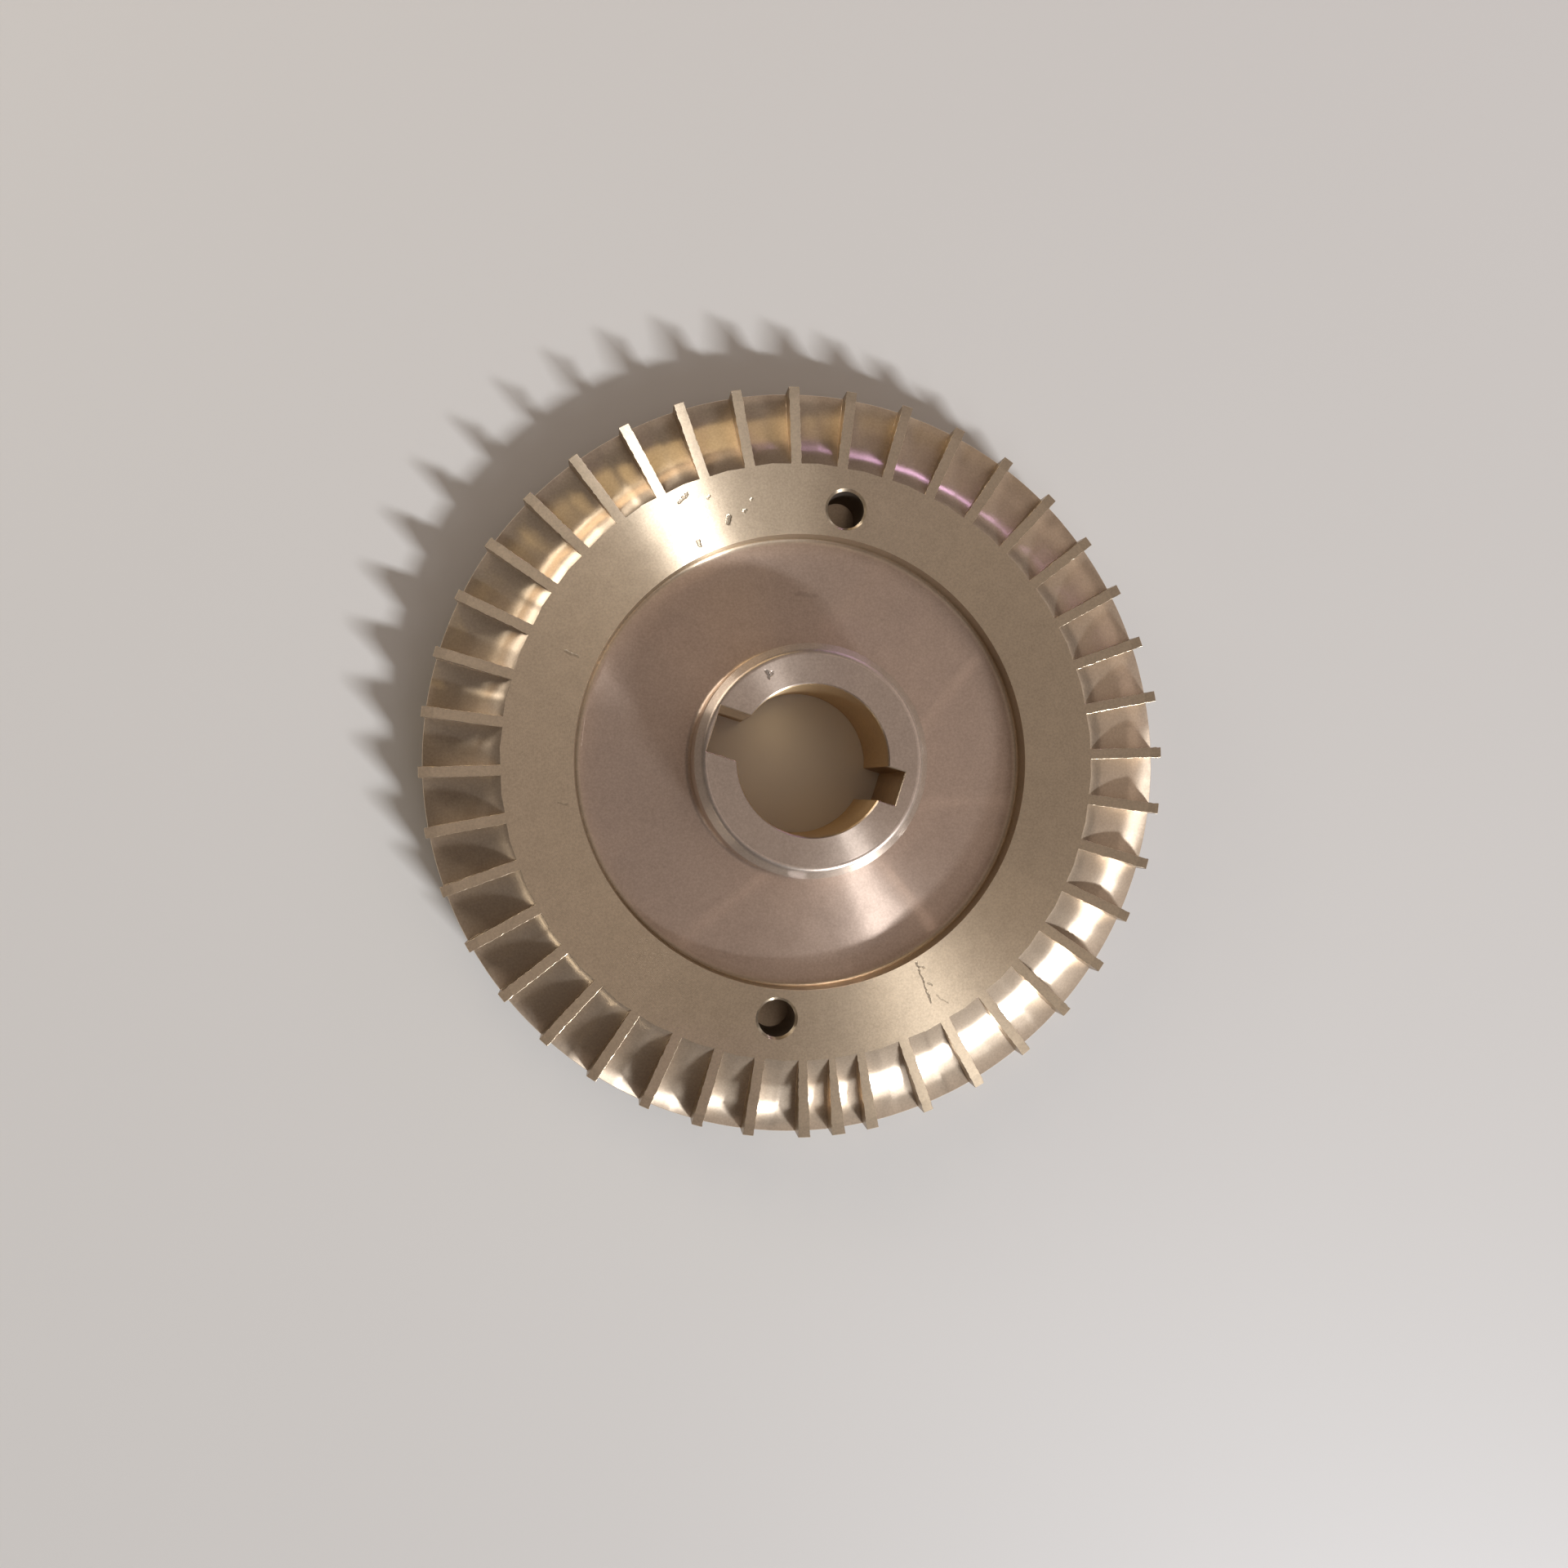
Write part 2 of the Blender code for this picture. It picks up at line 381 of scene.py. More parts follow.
def leaned_normal(graph, x, y, radius):
    """The surface's normal, tipped outwards as the steps on the pocket's floor lean."""
    sink = graph.out(graph.add("ShaderNodeAttribute", {"attribute_name": "sink"}), "Fac")
    lean = graph.smooth(radius, 57.0, 60.0) * (STEP_LEAN + sink * PASS_LEAN)
    outward = graph.add("ShaderNodeCombineXYZ", None,
                        {"X": x / radius * lean, "Y": y / radius * lean, "Z": 0.0})
    plain = graph.out(graph.add("ShaderNodeNewGeometry"), "Normal")
    tipped = graph.add("ShaderNodeVectorMath", {"operation": "ADD"},
                       {0: plain, 1: graph.out(outward, "Vector")})
    even = graph.add("ShaderNodeVectorMath", {"operation": "NORMALIZE"},
                     {0: graph.out(tipped, "Vector")})
    return graph.out(even, "Vector")


def milled_brass():
    material, graph = new_material("milled_brass")
    where, x, y, z, radius = surface_place(graph)
    mottle = noise(graph, where, 320.0, 4.0, 0.65) - 0.5
    grain = noise(graph, where, 2600.0, 2.0, 0.6) - 0.5
    normal = graph.out(graph.add("ShaderNodeNewGeometry"), "Normal")
    upward = graph.out(graph.add("ShaderNodeSeparateXYZ", None, {"Vector": normal}), "Z")
    on_wall = 1 - graph.smooth(graph.math("ABSOLUTE", upward), 0.25, 0.5)
    # Painted shade: the pocket's steep side walls are darkened in colour.
    shade = (1 + mottle * 0.12 + grain * 0.5) * (1 - on_wall * WALL_PAINTED_SHADE)
    metallic = METAL_SHARE + on_wall * (1 - METAL_SHARE)
    colour = scaled_colour(graph, MILLED_COLOUR, shade)
    fine = noise(graph, where, 700.0, 3.0, 0.7)
    normal = bumped(graph, fine * 0.0010, leaned_normal(graph, x, y, radius))
    polished = brushed(graph, colour, 0.25 + mottle * 0.03, normal, 1.0, 0.0, metallic)
    roughness = graph.between(0.60, 0.40, on_wall) + mottle * 0.10
    torn = brushed(graph, colour, roughness, normal, 0.0, 0.0, metallic)
    show(graph, mix_shader(graph, graph.between(TORN_SHARE, 1.0, on_wall), polished, torn))
    return material


def dull_brass(name, tone):
    """The dull wall of a drilled hole or a broached keyway."""
    material, graph = new_material(name)
    where, x, y, z, radius = surface_place(graph)
    speckle = noise(graph, where, 900.0, 3.0, 0.7) - 0.5
    colour = scaled_colour(graph, tone, 1 + speckle * 0.6)
    show(graph, brushed(graph, colour, 0.5, bumped(graph, speckle * 0.02, None), 0.0, 0.0))
    return material


TURNED = turned_brass()
MILLED = milled_brass()
# Painted shade: the drilled holes' walls get a very dark tone for the deep shade inside them.
DRILLED_IN_SHADE = dull_brass("drilled_brass_painted_dark", (0.22, 0.17, 0.13))
BROACHED = dull_brass("broached_brass", (0.48, 0.35, 0.22))
print("materials:", [finish.name for finish in (TURNED, MILLED, DRILLED_IN_SHADE, BROACHED)])

# %% [markdown]
# ## The section of the turned blank
#
# A lathe leaves no perfectly sharp corner: each edge is broken by a fraction of a millimetre and
# each inner corner has the tool's nose radius. The section is given as corners with a radius each,
# and a helper rounds them. It adds a point beside each curve, so that the flats next to it stay
# flat when the surface is shaded smooth.

# %% Rounded section
EDGE_BREAK = 0.00010
FINE_BREAK = 0.00005
HUB_CORNER = 0.0012
FLAT_MARGIN = 1.6
SHARE_ARC = math.radians(20.0)


def rounded(corners):
    """Points along a line of (radius, height, rounding) corners, each rounded by its own radius."""
    points = [corners[0][:2]]
    for before, here, after in zip(corners, corners[1:], corners[2:]):
        corner = Vector(here[:2])
        back = (Vector(before[:2]) - corner).normalized()
        ahead = (Vector(after[:2]) - corner).normalized()
        turn = math.pi - back.angle(ahead)
        cut = here[2] * math.tan(turn / 2)
        steps = max(4, math.ceil(turn / SHARE_ARC))
        middle = (back + ahead).normalized()
        centre = corner + middle * (here[2] / math.cos(turn / 2))
        first = corner + back * cut - centre
        spin = math.copysign(turn, back.cross(ahead))
        points.append(tuple(corner + back * cut * FLAT_MARGIN))
        for step in range(steps + 1):
            swing = Matrix.Rotation(-spin * step / steps, 2)
            points.append(tuple(centre + swing @ first))
        points.append(tuple(corner + ahead * cut * FLAT_MARGIN))
    points.append(corners[-1][:2])
    return points


def turned_section(hub_rise, last_radius):
    """One face of the blank from the middle of the bore out to the milled rim."""
    floor = HALF_RING - RECESS_DEPTH
    corners = [(BORE_RADIUS, 0.0, 0.0)]
    corners.append((BORE_RADIUS, hub_rise - BORE_CHAMFER, FINE_BREAK))
    corners.append((BORE_RADIUS + BORE_CHAMFER, hub_rise, FINE_BREAK))
    corners.append((HUB_RADIUS - HUB_CHAMFER, hub_rise, HUB_CORNER))
    corners.append((HUB_RADIUS, hub_rise - HUB_CHAMFER, EDGE_BREAK))
    corners.append((HUB_RADIUS, floor, HUB_FILLET))
    corners.append((RECESS_RADIUS, floor, RECESS_FILLET))
    corners.append((RECESS_RADIUS, HALF_RING, FINE_BREAK))
    corners.append((last_radius, HALF_RING, 0.0))
    return rounded(corners)


front_section = turned_section(FRONT_HUB_RISE, 0.0512)
back_section = turned_section(BACK_HUB_RISE, 0.0512)
print("points in the turned section:", len(front_section), "front,", len(back_section), "back")

# %% [markdown]
# ## One slice of the wheel
#
# The wheel is the same slice 41 times: half a vane, a pocket and half a vane, with its share of
# the hub behind it. So the slice is drawn once, as a flat plan, and a node tree bends a copy into
# each place. Each point of the plan carries what the tree needs: where it lies across the slice,
# and whether it lies on the face or on the pocket's floor.
#
# Across the slice, -2 and 2 are the middles of the two vanes, and -1 and 1 are the pocket's walls.

# %% Columns and rows of the plan
TURNED_COLUMNS = [-2.0, -1.2, -0.4, 0.4, 1.2, 2.0]
FIRST_OF_SPAN = [-2.0, -1.0, -0.3, 0.3, 1.0, 2.0]
STATIONS = [0.0, 0.012, 0.034] + [0.06 + 0.028 * step for step in range(34)]
CREASE = 0.03
EDGE_FALL = 0.58


def half_columns():
    """Columns from a vane's middle to the pocket's middle, as across, drop, slip and rise."""
    columns = [(2.0, 0.0, 0.0, 0.0), (1.45, 0.0, 0.0, 0.0)]
    columns += [(1.0, 0.0, 1.0, 0.0), (1.0, 0.0, 0.0, -EDGE_FALL)]
    columns += [(1.0, 1.0, 0.0, 1.0), (1.0, 1.0, -1.0, 0.0)]
    columns += [(0.6, 1.0, 0.0, 0.0), (0.3, 1.0, 0.0, 0.0), (CREASE, 1.0, 0.0, 0.0)]
    return columns


def milled_columns():
    low = [(-across, drop, slip, rise) for across, drop, slip, rise in half_columns()]
    return low + list(reversed(half_columns()))


def milled_rows():
    """Rows from the pocket's start to the rim's middle, as station, tuck, fall and level."""
    rows = [(station, 0.0, 0.0, 1.0) for station in STATIONS]
    rows += [(1.0, 1.0, 0.0, 1.0), (1.0, 0.0, 1.0, 1.0)]
    rows.append((1.0, 0.0, 0.0, 0.0))
    return rows


print("columns:", len(milled_columns()), "and rows:", len(milled_rows()), "in the milled part")

# %% Draw the plan
POINT_NUMBERS = ("milled", "across", "drop", "slip", "rise", "tuck", "fall", "level", "side")


def draw_face(bm, section, side):
    """Half of the plan, for the front or the back."""
    layers = [bm.verts.layers.float[name] for name in POINT_NUMBERS]

    def point(place, values):
        vert = bm.verts.new(place)
        for layer, value in zip(layers, values):
            vert[layer] = value
        return vert

    turned = []
    for radius, height in section:
        row = []
        for across in TURNED_COLUMNS:
            values = (0.0, across, 0.0, 0.0, 0.0, 0.0, 0.0, 1.0, side)
            row.append(point((radius, across, height * side), values))
        turned.append(row)
    columns = milled_columns()
    milled = []
    for station, tuck, fall, level in milled_rows():
        row = []
        for across, drop, slip, rise in columns:
            values = (1.0, across, drop, slip, rise, tuck, fall, level, side)
            row.append(point((station, across, side), values))
        milled.append(row)
    for rows in (turned, milled):
        for lower, upper in zip(rows, rows[1:]):
            for first in range(len(lower) - 1):
                bm.faces.new((lower[first], upper[first], upper[first + 1], lower[first + 1]))
    join_rows(bm, turned[-1], milled[0], [column[0] for column in columns])


def join_rows(bm, inner, outer, across):
    """Faces between the coarse turned row and the fine milled row, both flat on the ring face."""
    starts = [0]
    for value in FIRST_OF_SPAN[1:-1]:
        matches = [index for index, place in enumerate(across) if place == value]
        starts.append(matches[0])
    starts.append(len(across) - 1)
    for span, (first, last) in enumerate(zip(starts, starts[1:])):
        bm.faces.new(outer[first:last + 1] + [inner[span + 1], inner[span]])


def draw_slice():
    bm = bmesh.new()
    for name in POINT_NUMBERS:
        bm.verts.layers.float.new(name)
    draw_face(bm, front_section, 1.0)
    draw_face(bm, back_section, -1.0)
    mesh = bpy.data.meshes.new("slice_plan")
    bm.to_mesh(mesh)
    bm.free()
    item = bpy.data.objects.new("slice_plan", mesh)
    bpy.context.scene.collection.objects.link(item)
    return item


slice_plan = draw_slice()
print("faces in one slice:", len(slice_plan.data.polygons))

# %% [markdown]
# ## Where the slices go
#
# The wheel was indexed by 9 degrees from vane to vane, and the last few pockets had to share what
# was left, so they are narrower. The two narrowest took a single pass of the mill. One point for
# each pocket holds its start, its pitch and whether it is narrow.

# %% Points for the pockets


def draw_indexing():
    mesh = bpy.data.meshes.new("wheel")
    start = FIRST_VANE
    rows = []
    for number, pitch in enumerate(PITCHES):
        rows.append((start, pitch, float(pitch < NARROW_BELOW), float(number)))
        start += pitch
    mesh.from_pydata([(math.cos(row[0]), math.sin(row[0]), 0.0) for row in rows], [], [])
    for place, name in enumerate(("start", "pitch", "narrow", "number")):
        attribute = mesh.attributes.new(name, "FLOAT", "POINT")
        attribute.data.foreach_set("value", [row[place] for row in rows])
    item = bpy.data.objects.new("wheel", mesh)
    bpy.context.scene.collection.objects.link(item)
    return item


wheel_plan = draw_indexing()
print("points for pockets:", len(wheel_plan.data.vertices))

# %% [markdown]
# ## Bending the slices into a wheel
#
# A disc cutter plunged in at the rim leaves a pocket whose floor is an arc in the radial plane and
# level across. Each wide pocket took two passes, one along each vane, so its floor has a faint
# crease down the middle and the two halves differ by a hair. The tree below says exactly that. It
# turns each point's numbers into a radius, an angle and a height, then into a place.

# %% Tree that bends the slices
EDGE_ROUNDING = 0.00009
RIM_ROUNDING = 0.00008
SINK_SPREAD = 0.00005
RAGGED_EDGE = 0.0005
RAGGED_WAVES = 1.7
WALL_SHARE = 0.42
WORN_SHIFT = 0.05
FLOOR_LEAN = 1.45
BURR_HEIGHT = 0.00005
WELD_DISTANCE = 0.0000015

SIZE_INPUTS = {
    "Rim radius": OUTER_RADIUS,
    "Pocket start": POCKET_START,
    "Half ring": HALF_RING,
    "Half web": HALF_WEB,
    "Vane thickness": VANE_THICKNESS,
    "Mill width": MILL_WIDTH,
    "Edge rounding": EDGE_ROUNDING,
    "Rim rounding": RIM_ROUNDING,
    "Sink spread": SINK_SPREAD,
    "Ragged edge": RAGGED_EDGE,
    "Seed": 11,
}


def wheel_tree():
    tree = bpy.data.node_groups.new("bend_slices", "GeometryNodeTree")
    face = tree.interface
    face.new_socket("Geometry", in_out="INPUT", socket_type="NodeSocketGeometry")
    face.new_socket("Geometry", in_out="OUTPUT", socket_type="NodeSocketGeometry")
    named = {"Slice": face.new_socket("Slice", in_out="INPUT", socket_type="NodeSocketObject")}
    for name in ("Turned finish", "Milled finish"):
        named[name] = face.new_socket(name, in_out="INPUT", socket_type="NodeSocketMaterial")
    for name, value in SIZE_INPUTS.items():
        kind = "NodeSocketInt" if isinstance(value, int) else "NodeSocketFloat"
        named[name] = face.new_socket(name, in_out="INPUT", socket_type=kind)
    graph = Graph(tree)
    given = graph.add("NodeGroupInput")
    bent = bend_slices(graph, given)
    result = graph.add("NodeGroupOutput")
    graph.feed(result.inputs[0], bent)
    return tree, {name: socket.identifier for name, socket in named.items()}


def attribute(graph, name):
    node = graph.add("GeometryNodeInputNamedAttribute", {"data_type": "FLOAT"}, {"Name": name})
    return graph.out(node, "Attribute")


def sunk_by(graph, given, number, narrow, upper, side):
    """How much deeper or shallower than drawn the mill went on this pass."""
    key = number * 4 + (1 - narrow) * upper * 2 + (side > 0)
    settings = {"data_type": "FLOAT"}
    node = graph.add("FunctionNodeRandomValue", settings)
    sockets = [socket for socket in node.inputs if socket.enabled]
    low, high, ident, seed = sockets
    spread = graph.out(given, "Sink spread")
    graph.feed(low, 0 - spread)
    graph.feed(high, spread)
    graph.feed(ident, key)
    graph.feed(seed, graph.out(given, "Seed"))
    live = [socket for socket in node.outputs if socket.enabled][0]
    return Field(graph, live)


def sunk_here(graph, given):
    upper = attribute(graph, "across") > 0
    narrow = attribute(graph, "narrow")
    number = attribute(graph, "number")
    return sunk_by(graph, given, number, narrow, upper, attribute(graph, "side"))


def ragged(graph, along, upper, side):
    """A wavy line for each edge of each vane, as a number from about -1 to 1."""
    edge = attribute(graph, "number") * 2 + upper
    place = graph.add("ShaderNodeCombineXYZ", None,
                      {"X": along * 1000.0, "Y": edge * 7.31, "Z": side * 3.7})
    return noise(graph, graph.out(place, "Vector"), RAGGED_WAVES, 3.0, 0.65) - 0.5


def bend_slices(graph, given):
    source = graph.add("GeometryNodeObjectInfo", {"transform_space": "ORIGINAL"},
                       {"Object": graph.out(given, "Slice")})
    placed = graph.add("GeometryNodeInstanceOnPoints", None,
                       {"Points": graph.out(given, "Geometry"),
                        "Instance": graph.out(source, "Geometry")})
    loose = graph.add("GeometryNodeRealizeInstances", None,
                      {"Geometry": graph.out(placed, "Instances")})
    place = graph.add("ShaderNodeCombineXYZ", None, bent_place(graph, given))
    moved = graph.add("GeometryNodeSetPosition", None,
                      {"Geometry": graph.out(loose, "Geometry"),
                       "Position": graph.out(place, "Vector")})
    noted = graph.add("GeometryNodeStoreNamedAttribute", {"data_type": "FLOAT", "domain": "POINT"},
                      {"Geometry": graph.out(moved, "Geometry"), "Name": "sink",
                       "Value": sunk_here(graph, given) * 1000.0})
    welded = graph.add("GeometryNodeMergeByDistance", None,
                       {"Geometry": graph.out(noted, "Geometry"), "Distance": WELD_DISTANCE})
    dressed = graph.add("GeometryNodeSetMaterial", None,
                        {"Geometry": graph.out(welded, "Geometry"),
                         "Material": graph.out(given, "Turned finish")})
    in_pocket = (attribute(graph, "drop") > 0.2) * (attribute(graph, "milled") > 0.99)
    milled = graph.add("GeometryNodeSetMaterial", None,
                       {"Geometry": graph.out(dressed, "Geometry"), "Selection": in_pocket,
                        "Material": graph.out(given, "Milled finish")})
    return graph.out(milled, "Geometry")


def bent_place(graph, given):
    """X, Y and Z of each point of the wheel."""
    read = {name: attribute(graph, name) for name in POINT_NUMBERS + ("start", "pitch")}
    narrow = attribute(graph, "narrow")
    size = {name: graph.out(given, name) for name in SIZE_INPUTS}
    plan = graph.add("ShaderNodeSeparateXYZ", None,
                     {"Vector": graph.out(graph.add("GeometryNodeInputNamedAttribute",
                                                    {"data_type": "FLOAT_VECTOR"},
                                                    {"Name": "plan"}), "Attribute")})
    station = graph.out(plan, "X")
    half = read["pitch"] / 2
    across = read["across"]
    sign = graph.math("SIGN", across)
    reach = graph.math("ABSOLUTE", across)
    on_vane = graph.math("MAXIMUM", reach - 1, 0)
    in_pocket = graph.math("MINIMUM", reach, 1)

    sink = sunk_here(graph, given)
    start = size["Pocket start"] - sink * FLOOR_LEAN * (1 - on_vane)
    along = start + station * (size["Rim radius"] - start)
    thick = graph.math("ARCSINE", size["Vane thickness"] / (along * 2))
    single = graph.math("ARCSINE", size["Mill width"] / (along * 2))
    wall = graph.between(half - thick, single, narrow)
    swing = in_pocket * wall + on_vane * (half - wall)
    lean = graph.between(half - swing, swing, narrow) * (1 - on_vane)
    square = along / graph.math("COSINE", lean)
    milled_radius = graph.between(square, along, graph.smooth(station, 0.0, 1.0))

    depth = size["Half ring"] - size["Half web"]
    run = size["Rim radius"] - size["Pocket start"]
    mill = (run * run + depth * depth) / (depth * 2)
    short = size["Rim radius"] - milled_radius * graph.math("COSINE", lean)
    bowl = graph.math("SQRT", mill * mill - short * short) - mill + depth + sink
    floor = graph.math("MAXIMUM", bowl, 0)
    worn = graph.smooth(ragged(graph, along + WORN_SHIFT, across > 0, read["side"]), 0.0, 0.22)
    rounding = size["Edge rounding"] * graph.between(0.12, 1.0, worn)
    rounding = graph.math("MINIMUM", rounding, floor * WALL_SHARE)

    rim = size["Rim rounding"]
    radius = graph.between(station, milled_radius - read["tuck"] * rim, read["milled"])
    on_edge = (1 - read["drop"]) * (reach < 1.2) * graph.smooth(floor, 0.0, 0.0004)
    wave = ragged(graph, along, across > 0, read["side"]) * size["Ragged edge"] * on_edge
    slipped = (swing + (read["slip"] * rounding + wave) / milled_radius) * sign
    turned_swing = across * half / 2
    angle = read["start"] + half + graph.between(turned_swing, slipped, read["milled"])
    milled_height = size["Half ring"] - read["drop"] * floor + read["rise"] * rounding
    milled_height = (milled_height - read["fall"] * rim) * read["level"] * read["side"]
    height = graph.between(graph.out(plan, "Z"), milled_height, read["milled"])
    return {"X": radius * graph.math("COSINE", angle), "Y": radius * graph.math("SINE", angle),
            "Z": height + RING_MIDDLE}


print("tree functions ready")

# %% Bend, weld and keep the wheel as a plain mesh


def keep_plan(item):
    """Stores where each point lies in the plan, because instancing moves the points."""
    mesh = item.data
    store = mesh.attributes.new("plan", "FLOAT_VECTOR", "POINT")
    flat = [0.0] * (3 * len(mesh.vertices))
    mesh.vertices.foreach_get("co", flat)
    store.data.foreach_set("vector", flat)


def plain_mesh(item, name):
    """The evaluated shape of an object as a new mesh."""
    graph = bpy.context.evaluated_depsgraph_get()
    mesh = bpy.data.meshes.new_from_object(item.evaluated_get(graph))
    mesh.name = name
    return mesh


def bend_wheel(plan, one_slice):
    keep_plan(one_slice)
    tree, names = wheel_tree()
    bending = plan.modifiers.new("bend_slices", "NODES")
    bending.node_group = tree
    bending[names["Slice"]] = one_slice
    bending[names["Turned finish"]] = TURNED
    bending[names["Milled finish"]] = MILLED
    for name, value in SIZE_INPUTS.items():
        bending[names[name]] = value
    mesh = plain_mesh(plan, "wheel")
    plan.modifiers.remove(bending)
    return mesh


wheel_mesh = bend_wheel(wheel_plan, slice_plan)
for done in (wheel_plan, slice_plan):
    bpy.data.objects.remove(done)
print("welded wheel:", len(wheel_mesh.vertices), "points,", len(wheel_mesh.polygons), "faces")

# %% [markdown]
# ## Keyways and puller holes
#
# The keyways were broached and the holes drilled after the wheel was turned, so here too they are
# cut last. Each cutter flares where it leaves the metal, which breaks the edge that it makes.

# %% Cutters
KEYWAY_ANGLE = math.radians(-17.7)
KEYWAYS = [("keyway", KEYWAY_ANGLE, 0.0060, 0.0155)]
KEYWAYS.append(("wide_keyway", KEYWAY_ANGLE + math.pi, 0.0080, 0.0175))
HOLES = [("first_hole", math.radians(80.7)), ("second_hole", math.radians(263.6))]
HOLE_PITCH_RADIUS = 0.0448
HOLE_RADIUS = 0.00325
HOLE_CHAMFER = 0.00045
KEYWAY_BREAK = 0.00015
CLEARANCE = 0.002
HOLE_STEPS = 48


def keyway_outline(inner, reach, width, swell):
    half = width / 2 + swell
    far = reach + swell
    return [(inner, -half), (far, -half), (far, half), (inner, half)]


def loft(name, outlines, heights, edge, wall):
    """A closed solid through outlines at rising heights, with a finish for its middle wall."""
    bm = bmesh.new()
    rows = []
    for outline, height in zip(outlines, heights):
        rows.append([bm.verts.new((x, y, height)) for x, y in outline])
    count = len(rows[0])
    for level, (lower, upper) in enumerate(zip(rows, rows[1:])):
        for index in range(count):
            after = (index + 1) % count
            face = bm.faces.new((lower[index], lower[after], upper[after], upper[index]))
            face.material_index = int(level == len(rows) // 2 - 1)
    bm.faces.new(list(reversed(rows[0])))
    bm.faces.new(rows[-1])
    mesh = bpy.data.meshes.new(name)
    bm.to_mesh(mesh)
    bm.free()
    mesh.materials.append(edge)
    mesh.materials.append(wall)
    item = bpy.data.objects.new(name, mesh)
    bpy.context.scene.collection.objects.link(item)
    return item


def broken_levels(low, high, edge):
    """Heights of a through cutter and how much it swells at each, flared at both faces."""
    levels = [(low - CLEARANCE, edge), (low, edge), (low + edge, 0.0)]
    return levels + [(high - edge, 0.0), (high, edge), (high + CLEARANCE, edge)]


def cut_keyway(name, angle, width, reach):
    levels = broken_levels(0.0, RING_MIDDLE + FRONT_HUB_RISE, KEYWAY_BREAK)
    outlines = [keyway_outline(BORE_RADIUS / 2, reach, width, swell) for _, swell in levels]
    cutter = loft(name, outlines, [height for height, _ in levels], MILLED, BROACHED)
    cutter.data.transform(Matrix.Rotation(angle, 4, "Z"))
    return cutter


def cut_hole(name, angle):
    levels = broken_levels(RING_MIDDLE - HALF_RING, RING_MIDDLE + HALF_RING, HOLE_CHAMFER)
    outlines = []
    for _, swell in levels:
        turns = [2 * math.pi * step / HOLE_STEPS for step in range(HOLE_STEPS)]
        radius = HOLE_RADIUS + swell
        outlines.append([(radius * math.cos(turn), radius * math.sin(turn)) for turn in turns])
    cutter = loft(name, outlines, [height for height, _ in levels], TURNED, DRILLED_IN_SHADE)
    place = (HOLE_PITCH_RADIUS * math.cos(angle), HOLE_PITCH_RADIUS * math.sin(angle), 0.0)
    cutter.data.transform(Matrix.Translation(place))
    return cutter


def cut_from(mesh, cutters):
    """The mesh with every cutter taken out of it, as a new object."""
    item = bpy.data.objects.new("worn_wheel", mesh)
    bpy.context.scene.collection.objects.link(item)
    for cutter in cutters:
        step = item.modifiers.new(cutter.name, "BOOLEAN")
        step.operation = "DIFFERENCE"
        step.solver = "EXACT"
        step.material_mode = "TRANSFER"
        step.object = cutter
    item.data = plain_mesh(item, "worn_wheel")
    item.modifiers.clear()
    for cutter in cutters:
        bpy.data.objects.remove(cutter)
    return item


cutters = [cut_keyway(*row) for row in KEYWAYS] + [cut_hole(*row) for row in HOLES]
wheel = cut_from(wheel_mesh, cutters)
print("cut wheel:", len(wheel.data.polygons), "faces")

# %% [markdown]
# ## Shading
#
# The wheel is shaded smooth, and an edge is kept sharp where two faces meet at more than about 30
# degrees. The rounded edges were drawn with smaller steps than that, so they stay smooth.

# %% Smooth and sharp
SHARP_ANGLE = math.radians(25.0)
SPECK = 0.000001


def tidy_and_shade(item):
    bm = bmesh.new()
    bm.from_mesh(item.data)
    bmesh.ops.remove_doubles(bm, verts=bm.verts, dist=SPECK)
    bmesh.ops.dissolve_degenerate(bm, edges=bm.edges, dist=SPECK / 10)
    bmesh.ops.recalc_face_normals(bm, faces=bm.faces)
    loose = sum(1 for edge in bm.edges if not edge.is_manifold)
    triangles = sum(len(face.verts) - 2 for face in bm.faces)
    bm.to_mesh(item.data)
    bm.free()
    item.data.shade_smooth()
    item.data.set_sharp_from_angle(angle=SHARP_ANGLE)
    return loose, triangles


open_edges, triangles = tidy_and_shade(wheel)
print("open edges:", open_edges, "and triangles:", triangles)

# %% [markdown]
# ## Floor and light
#
# The floor is plain and pale. One small lamp, low at the front right, throws the shadows and the
# bright wedges. A low strip at the back left and a fainter one beside it light up the inner ends of
# the pockets, which face outwards and see only what is near the horizon.

# %% Floor
FLOOR_SIZE = 4.0
FLOOR_SHADE = (0.70, 0.66, 0.60, 1.0)


def add_floor():
    bm = bmesh.new()
    bmesh.ops.create_grid(bm, x_segments=1, y_segments=1, size=FLOOR_SIZE / 2)
    mesh = bpy.data.meshes.new("floor")
    bm.to_mesh(mesh)
    bm.free()
    item = bpy.data.objects.new("floor", mesh)
    item.location = (0.0, 0.0, -0.00002)
    bpy.context.scene.collection.objects.link(item)
    material, graph = new_material("floor_board")
    where = graph.out(graph.add("ShaderNodeTexCoord"), "Object")
    tone = noise(graph, where, 6.0, 2.0) * 0.03
    colour = graph.add("ShaderNodeVectorMath", {"operation": "SCALE"},
                       {0: FLOOR_SHADE[:3], "Scale": 0.985 + tone})
    shader = graph.add("ShaderNodeBsdfPrincipled", None,
                       {"Base Color": graph.out(colour, "Vector"), "Roughness": 0.6})
    graph.add("ShaderNodeOutputMaterial", None, {"Surface": graph.out(shader, "BSDF")})
    mesh.materials.append(material)
    return item


floor = add_floor()
print("floor is", FLOOR_SIZE, "m across")

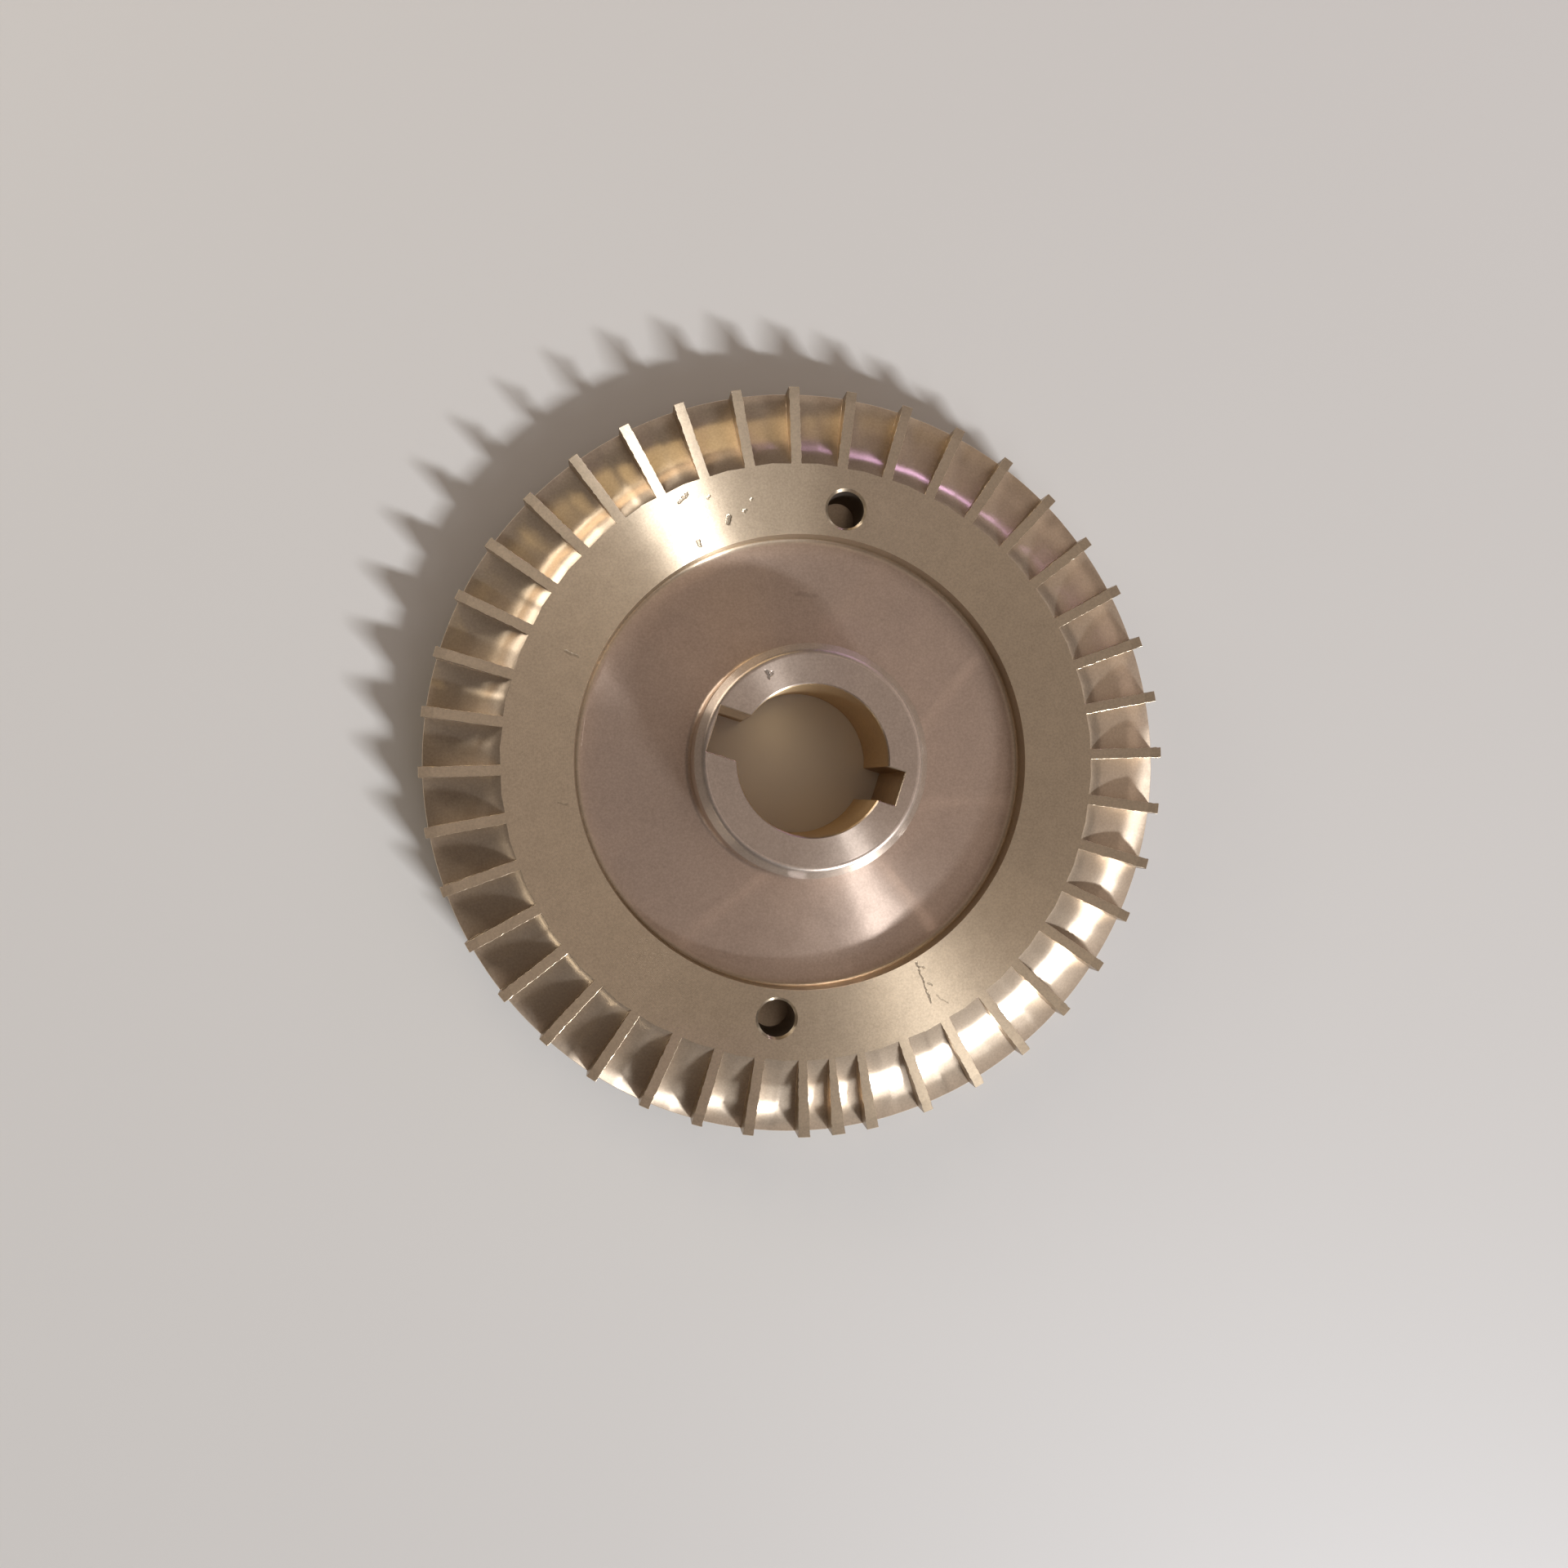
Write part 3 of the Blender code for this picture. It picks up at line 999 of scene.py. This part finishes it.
# %% Lights
WINDOW_PLACE = (-53.0, 31.0, 4.0)
WINDOW_SIZE = (0.80, 0.17)
WINDOW_TILT = math.radians(-36.0)
WINDOW_POWER = 186.0
KEY_COLOUR = (0.857, 0.908, 1.0)
ROOM_COLOUR = (1.0, 0.865, 0.81)
LIGHTS = [
    ("soft_panel", -68.0, 38.0, 1.2, 0.42, 0.30, 1.2, KEY_COLOUR),
    ("ceiling", 0.0, 72.0, 1.05, 1.3, 1.5, 1.4, ROOM_COLOUR),
    ("side_panel", 22.0, 30.0, 1.2, 1.9, 0.8, 1.3, ROOM_COLOUR),
    ("white_strip", 138.0, 15.0, 0.8, 0.32, 0.10, 0.65, (1.0, 0.97, 0.93)),
    ("amber_strip", 128.0, 23.5, 0.8, 0.50, 0.085, 0.36, (1.0, 0.78, 0.55)),
    ("upper_strip", 135.0, 29.0, 0.8, 0.35, 0.03, 0.20, (1.0, 0.97, 0.88)),
    ("pink_strip", 63.0, 17.0, 0.8, 0.27, 0.030, 0.20, (0.68, 0.48, 1.0)),
    ("gold_panel", 105.0, 36.0, 0.8, 0.25, 0.22, 0.24, (1.0, 0.80, 0.45)),
    ("cream_strip", 219.0, 16.0, 0.8, 0.33, 0.02, 0.10, (1.0, 0.93, 0.80)),
]


def add_light(name, azimuth, elevation, distance, width, height, power, colour):
    """A rectangular lamp that faces the wheel from a compass direction and a height."""
    data = bpy.data.lights.new(name, "AREA")
    data.shape = "RECTANGLE"
    data.size = width
    data.size_y = height
    data.energy = power
    data.color = colour
    item = bpy.data.objects.new(name, data)
    bpy.context.scene.collection.objects.link(item)
    away = towards(azimuth, elevation)
    item.location = away * distance + Vector((0.0, 0.0, RING_MIDDLE))
    item.rotation_euler = away.to_track_quat("Z", "Y").to_euler()
    return item


def towards(azimuth, elevation):
    """The direction of a place in the room, as seen from the wheel."""
    turn = math.radians(azimuth)
    rise = math.radians(elevation)
    level = math.cos(rise)
    return Vector((math.cos(turn) * level, math.sin(turn) * level, math.sin(rise)))


def add_window():
    """The far bright window that throws the shadows, taller at its left end than at its right."""
    azimuth, elevation, distance = WINDOW_PLACE
    window = add_light("window", azimuth, elevation, distance, *WINDOW_SIZE, WINDOW_POWER, KEY_COLOUR)
    window.rotation_euler = (window.rotation_euler.to_matrix()
                             @ Matrix.Rotation(WINDOW_TILT, 3, "Z")).to_euler()


add_window()
for row in LIGHTS:
    add_light(*row)

world = bpy.data.worlds.new("studio")
bpy.context.scene.world = world
world.use_nodes = True
world.node_tree.nodes["Background"].inputs["Color"].default_value = (*ROOM_COLOUR, 1.0)
world.node_tree.nodes["Background"].inputs["Strength"].default_value = 0.085
bpy.context.scene.view_settings.view_transform = "Standard"
print("lights:", [row[0] for row in LIGHTS])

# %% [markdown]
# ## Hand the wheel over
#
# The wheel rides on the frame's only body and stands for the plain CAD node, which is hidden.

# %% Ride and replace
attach(wheel, "root")
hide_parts("impeller")
